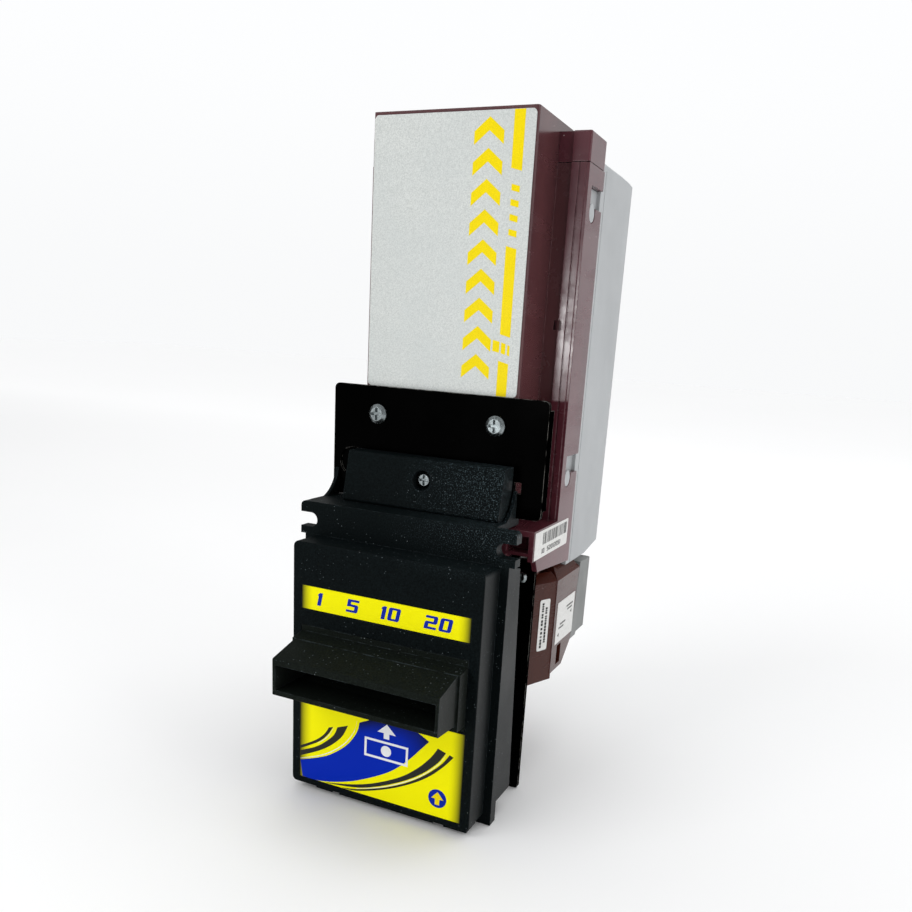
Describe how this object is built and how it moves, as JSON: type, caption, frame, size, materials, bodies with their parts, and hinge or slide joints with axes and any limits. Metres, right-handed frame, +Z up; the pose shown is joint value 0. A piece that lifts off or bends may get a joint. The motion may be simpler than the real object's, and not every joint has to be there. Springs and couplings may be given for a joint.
{
  "type": "bill validator",
  "caption": "Banknote validator with a snout bezel, a vertical note path, an up-stacking magazine with a sprung pressure plate, a lift-off rear cover and a hinged path door.",
  "frame": {"origin": "midway between the two ear slots, on the front plane of the mounting flange", "axes": "+X to the viewer's right, +Y back into the machine, +Z up"},
  "size_m": [0.1048, 0.1656, 0.2965],
  "materials": {
    "bezel_plastic": "textured black moulding",
    "print_label": "printed polyester label",
    "zinc_screw": "zinc plated",
    "black_plate": "gloss black powder coat",
    "maroon_plastic": "glossy dark maroon moulding",
    "magazine_print": "metallic silver label with yellow print",
    "white_label": "paper label",
    "grey_cover": "satin light grey moulding",
    "dark_grey_cover": "satin grey moulding",
    "inner_plastic": "black engineering plastic",
    "spring_steel": "bare spring wire",
    "lens": "dark red infrared window",
    "board": "green solder mask",
    "gear_plastic": "natural acetal",
    "roller_rubber": "black rubber",
    "shaft_steel": "ground steel",
    "bush_metal": "sintered bronze",
    "component_black": "black epoxy and nylon"
  },
  "bodies": {
    "frame": {"bezel_housing": "bezel_plastic", "entry_snout": "bezel_plastic", "denomination_label": "print_label", "instruction_label": "print_label", "clamp_block": "bezel_plastic", "clamp_screw": "zinc_screw", "clamp_nut": "zinc_screw", "upper_mount_plate": "black_plate", "upper_plate_screws": "zinc_screw", "lower_back_plate": "black_plate", "bezel_screws": "zinc_screw", "housing_screws": "zinc_screw", "main_frame": "maroon_plastic", "serial_label": "white_label", "lower_path_guide": "inner_plastic", "upper_path_guide": "inner_plastic", "upper_lens": "lens", "lower_lens": "lens", "upper_sensor_board": "board", "lower_sensor_board": "board", "lower_housing": "maroon_plastic", "front_label": "white_label", "side_label": "white_label", "door_pins": "zinc_screw", "idler_axle": "shaft_steel", "shaft_bushes": "bush_metal", "transport_belts": "roller_rubber", "transport_motor": "shaft_steel", "stacker_base": "inner_plastic", "stacker_motor": "shaft_steel", "main_board": "board", "board_screws": "zinc_screw", "board_components": "component_black", "harness_connector": "component_black"},
    "magazine": {"magazine_box": "maroon_plastic", "magazine_cap": "maroon_plastic", "magazine_label": "magazine_print", "magazine_spring": "spring_steel"},
    "pressure_plate": {"pressure_plate": "inner_plastic"},
    "rear_cover": {"rear_cover": "grey_cover"},
    "path_door": {"path_door": "dark_grey_cover"},
    "drive_shaft": {"drive_shaft": "shaft_steel", "drive_pulleys": "gear_plastic", "drive_gear": "gear_plastic"},
    "feed_shaft": {"feed_shaft": "shaft_steel", "feed_rollers": "roller_rubber", "feed_gear": "gear_plastic"},
    "idler_gear": {"idler_gear": "gear_plastic"},
    "motor_pinion": {"motor_pinion": "gear_plastic"},
    "upper_shaft": {"upper_shaft": "shaft_steel", "upper_pulleys": "gear_plastic"},
    "feed_pinch": {"feed_pinch_rollers": "roller_rubber"},
    "exit_pinch": {"exit_pinch_rollers": "roller_rubber"},
    "pusher": {"pusher_plate": "inner_plastic", "pusher_racks": "inner_plastic"},
    "stacker_shaft": {"stacker_shaft": "shaft_steel", "stacker_pinions": "gear_plastic", "stacker_gear": "gear_plastic"},
    "stacker_motor_pinion": {"stacker_motor_pinion": "gear_plastic"}
  },
  "joints": [
    {"name": "magazine_lift", "type": "slide", "parent": "frame", "child": "magazine", "axis": [0, 0, 1], "range_m": [0, 0.165]},
    {"name": "pressure_plate_slide", "type": "slide", "parent": "magazine", "child": "pressure_plate", "axis": [0, -1, 0], "range_m": [0, 0.015], "stiffness_N_per_m": 120, "springref_m": -0.012, "deforming": ["magazine_spring"]},
    {"name": "rear_cover_lift", "type": "slide", "parent": "frame", "child": "rear_cover", "axis": [0, 0, 1], "range_m": [0, 0.0065]},
    {"name": "path_door_hinge", "type": "hinge", "parent": "frame", "child": "path_door", "pos_m": [0, 0.0922, -0.0662], "axis": [-1, 0, 0], "range_deg": [0, 80]},
    {"name": "drive_spin", "type": "hinge", "parent": "frame", "child": "drive_shaft", "pos_m": [0, 0.0761, -0.031], "axis": [1, 0, 0], "continuous": true},
    {"name": "feed_spin", "type": "hinge", "parent": "frame", "child": "feed_shaft", "pos_m": [0, 0.05082, -0.06482], "axis": [1, 0, 0], "continuous": true},
    {"name": "idler_gear_spin", "type": "hinge", "parent": "frame", "child": "idler_gear", "pos_m": [0, 0.05759, -0.04431], "axis": [1, 0, 0], "continuous": true},
    {"name": "motor_spin", "type": "hinge", "parent": "frame", "child": "motor_pinion", "pos_m": [0, 0.0841, -0.04439], "axis": [1, 0, 0], "continuous": true},
    {"name": "upper_shaft_spin", "type": "hinge", "parent": "frame", "child": "upper_shaft", "pos_m": [0, 0.0761, 0.14], "axis": [1, 0, 0], "continuous": true},
    {"name": "feed_pinch_spin", "type": "hinge", "parent": "frame", "child": "feed_pinch", "pos_m": [0, 0.04478, -0.05297], "axis": [1, 0, 0], "continuous": true},
    {"name": "exit_pinch_spin", "type": "hinge", "parent": "frame", "child": "exit_pinch", "pos_m": [0, 0.0606, -0.031], "axis": [1, 0, 0], "continuous": true},
    {"name": "pusher_slide", "type": "slide", "parent": "frame", "child": "pusher", "axis": [0, -1, 0], "range_m": [0, 0.01215]},
    {"name": "stacker_spin", "type": "hinge", "parent": "frame", "child": "stacker_shaft", "pos_m": [0, 0.079, 0.091], "axis": [-1, 0, 0], "range_deg": [0, 116.1]},
    {"name": "stacker_motor_spin", "type": "hinge", "parent": "frame", "child": "stacker_motor_pinion", "pos_m": [0, 0.079, 0.103], "axis": [-1, 0, 0], "range_deg": [-232.2, 0]}
  ],
  "couplings": [
    {"joint": "feed_spin", "follows": "drive_spin", "ratio": 1.125},
    {"joint": "idler_gear_spin", "follows": "drive_spin", "ratio": -0.9},
    {"joint": "motor_spin", "follows": "drive_spin", "ratio": -2.25},
    {"joint": "upper_shaft_spin", "follows": "drive_spin", "ratio": 1},
    {"joint": "stacker_spin", "follows": "pusher_slide", "rad_per_m": 166.67},
    {"joint": "stacker_motor_spin", "follows": "pusher_slide", "rad_per_m": -333.33}
  ]
}
